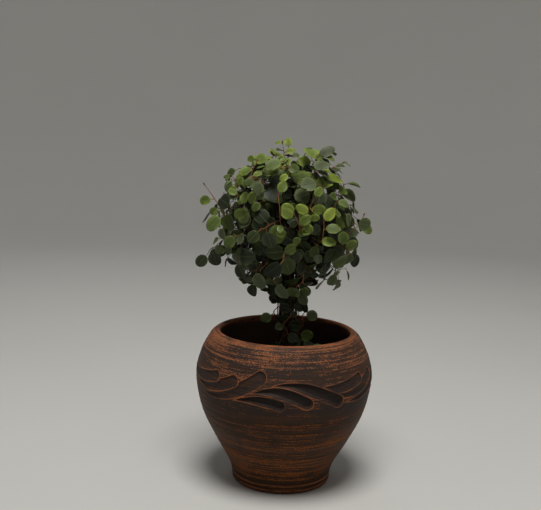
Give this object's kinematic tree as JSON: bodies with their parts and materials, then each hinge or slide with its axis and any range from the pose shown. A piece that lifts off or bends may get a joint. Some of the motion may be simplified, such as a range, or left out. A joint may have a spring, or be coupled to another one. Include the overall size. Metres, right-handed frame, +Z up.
{
  "type": "wire vine bonsai in a pot",
  "caption": "Ball-shaped wire vine on a bundle of thin wiry stems with small round leaves, in a wide-shouldered carved earthenware pot.",
  "frame": {"origin": "middle of the pot's flat foot, on the surface that it stands on", "axes": "+Z up along the pot's axis; -Y towards the viewer of the picture, +X to the right"},
  "size_m": [0.1772, 0.1744, 0.3429],
  "materials": {
    "pot": "matt smoked terracotta, dark brown wash rubbed through to orange on the ridges",
    "soil": "dark crumbly peat",
    "bark": "thin wiry dark brown bark",
    "foliage": "satin dark green leaves, young ones yellow-green, on orange-brown shoots"
  },
  "bodies": {
    "root": {"pot": "pot", "soil": "soil", "trunk_stem_1": "bark", "trunk_stem_2": "bark", "trunk_stem_3": "bark", "trunk_stem_4": "bark", "trunk_stem_5": "bark", "trunk_stem_6": "bark", "trunk_stem_7": "bark", "trunk_stem_8": "bark", "trunk_stem_9": "bark", "left_twig": "foliage", "right_twig": "foliage", "crown_shoot": "foliage", "hanging_shoot": "foliage", "trunk_shoot_left": "foliage", "trunk_shoot_right": "foliage", "trunk_shoot_front": "foliage", "rim_shoot": "foliage", "leafy_stem_01": "foliage", "leafy_stem_02": "foliage", "leafy_stem_03": "foliage", "leafy_stem_04": "foliage", "leafy_stem_05": "foliage", "leafy_stem_06": "foliage", "leafy_stem_07": "foliage", "leafy_stem_08": "foliage", "leafy_stem_09": "foliage", "leafy_stem_10": "foliage", "leafy_stem_11": "foliage", "leafy_stem_12": "foliage", "leafy_stem_13": "foliage", "leafy_stem_14": "foliage", "leafy_stem_15": "foliage", "leafy_stem_16": "foliage", "leafy_stem_17": "foliage", "leafy_stem_18": "foliage", "leafy_stem_19": "foliage", "leafy_stem_20": "foliage", "leafy_stem_21": "foliage", "leafy_stem_22": "foliage", "leafy_stem_23": "foliage", "leafy_stem_24": "foliage", "leafy_stem_25": "foliage", "leafy_stem_26": "foliage", "leafy_stem_27": "foliage", "leafy_stem_28": "foliage", "leafy_stem_29": "foliage", "leafy_stem_30": "foliage", "leafy_stem_31": "foliage", "leafy_stem_32": "foliage", "leafy_stem_33": "foliage", "leafy_stem_34": "foliage", "leafy_stem_35": "foliage"}
  },
  "joints": []
}
